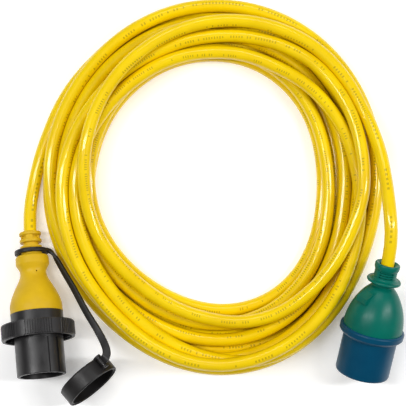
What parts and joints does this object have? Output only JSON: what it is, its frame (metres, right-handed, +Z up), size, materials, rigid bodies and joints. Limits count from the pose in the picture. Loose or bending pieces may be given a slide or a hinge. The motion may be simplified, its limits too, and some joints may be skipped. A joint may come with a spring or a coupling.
{
  "type": "shore power cord",
  "caption": "Coiled yellow three-core power cord with a locking boat connector, tethered weather cap and a shrouded shore plug with round pins.",
  "frame": {"origin": "below the middle of the coiled cord's overall box, on the surface it lies on", "axes": "+Z up, +Y from the connectors towards the far side of the coil, +X from the boat connector towards the shore plug"},
  "size_m": [0.3607, 0.3695, 0.0672],
  "materials": {
    "cord_jacket": "smooth satin jacket",
    "yellow_housing": "matt moulded",
    "black_plastic": "satin moulded",
    "black_cap_plastic": "satin moulded",
    "black_rubber": "matt",
    "insulator": "matt moulded",
    "green_housing": "satin moulded",
    "blue_shroud": "satin moulded",
    "steel": "plated",
    "core_brown": "smooth",
    "core_blue": "smooth",
    "core_green_yellow": "smooth, striped",
    "contact_brass": "machined"
  },
  "bodies": {
    "root": {"cord_coil": "cord_jacket", "cord_lead_boat": "cord_jacket", "cord_lead_shore": "cord_jacket", "boat_body": "yellow_housing", "boat_strain_relief": "yellow_housing", "boat_collar": "black_plastic", "boat_barrel": "black_plastic", "boat_contact_carrier": "insulator", "boat_terminal_screws": "steel", "boat_jacket_end": "cord_jacket", "boat_clamp_upper": "insulator", "boat_clamp_lower": "insulator", "boat_clamp_screws": "steel", "ring_retainer": "steel", "boat_contact_live": "contact_brass", "boat_contact_neutral": "contact_brass", "boat_contact_earth": "contact_brass", "boat_core_live": "core_brown", "boat_core_neutral": "core_blue", "boat_core_earth": "core_green_yellow", "shore_body": "green_housing", "shore_gland": "green_housing", "shore_shroud": "blue_shroud", "shore_pin_carrier": "insulator", "shore_terminal_screws": "steel", "shore_seal": "black_rubber", "shore_jacket_end": "cord_jacket", "shore_clamp_upper": "insulator", "shore_clamp_lower": "insulator", "shore_clamp_screws": "steel", "shore_pin_live": "contact_brass", "shore_pin_neutral": "contact_brass", "shore_pin_earth": "contact_brass", "shore_core_live": "core_brown", "shore_core_neutral": "core_blue", "shore_core_earth": "core_green_yellow"},
    "ring": {"lock_ring": "black_plastic", "ring_seal": "black_rubber"},
    "tether": {"tether_strap": "black_cap_plastic"},
    "cap": {"weather_cap": "black_cap_plastic", "tether_pin": "steel", "cap_seal": "black_rubber"}
  },
  "joints": [
    {"name": "lock_ring_turn", "type": "hinge", "parent": "root", "child": "ring", "pos_m": [-0.1466, -0.118, 0.03361], "axis": [0.1098, -0.9641, 0.2419], "continuous": true},
    {"name": "tether_swing", "type": "hinge", "parent": "root", "child": "tether", "pos_m": [-0.1546, -0.04782, 0.016], "axis": [0.1098, -0.9641, 0.2419], "range_deg": [0, 190]},
    {"name": "cap_swing", "type": "hinge", "parent": "tether", "child": "cap", "pos_m": [-0.08929, -0.14373, 0.04461], "axis": [0.6437, -0.7288, 0.2334], "range_deg": [-55, 30]}
  ]
}
